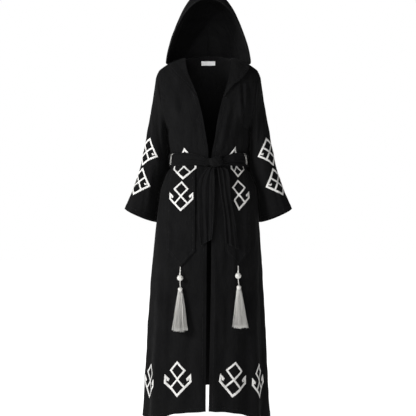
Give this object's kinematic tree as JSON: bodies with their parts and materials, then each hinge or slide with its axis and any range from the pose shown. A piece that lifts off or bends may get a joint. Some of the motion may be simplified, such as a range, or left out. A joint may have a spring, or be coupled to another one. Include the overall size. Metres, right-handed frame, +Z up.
{
  "type": "hooded open-front muslin kaftan",
  "caption": "Long hooded open-front kaftan of black muslin with a tied sash, pointed pocket panels and tassels, filled out as if worn.",
  "frame": {"origin": "middle of the line between the two shoulder seams, where the wearer's shoulders hold the garment", "axes": "+Z up, +X towards the wearer's left, -Y the garment's front"},
  "size_m": [0.6682, 0.3794, 1.6859],
  "materials": {
    "muslin": "black crinkled cotton muslin",
    "silk_thread": "pale silky tassel yarn and thread",
    "embroidery": "white satin stitch",
    "label_tape": "plain white woven tape"
  },
  "bodies": {
    "root": {"back_upper": "muslin", "back_skirt": "muslin", "front_right": "muslin", "front_left": "muslin", "sleeve_right": "muslin", "sleeve_left": "muslin", "hood_right": "muslin", "hood_left": "muslin", "lapel_right": "muslin", "lapel_left": "muslin", "belt_band": "muslin", "belt_knot": "muslin", "belt_tail_right": "muslin", "belt_tail_left": "muslin", "pocket_right": "muslin", "pocket_left": "muslin", "belt_loop_right": "silk_thread", "belt_loop_left": "silk_thread", "tassel_cord_right": "silk_thread", "tassel_bead_right": "silk_thread", "tassel_thin_cord_right": "silk_thread", "tassel_skirt_right": "silk_thread", "tassel_cord_left": "silk_thread", "tassel_bead_left": "silk_thread", "tassel_thin_cord_left": "silk_thread", "tassel_skirt_left": "silk_thread", "label": "label_tape"}
  },
  "joints": []
}
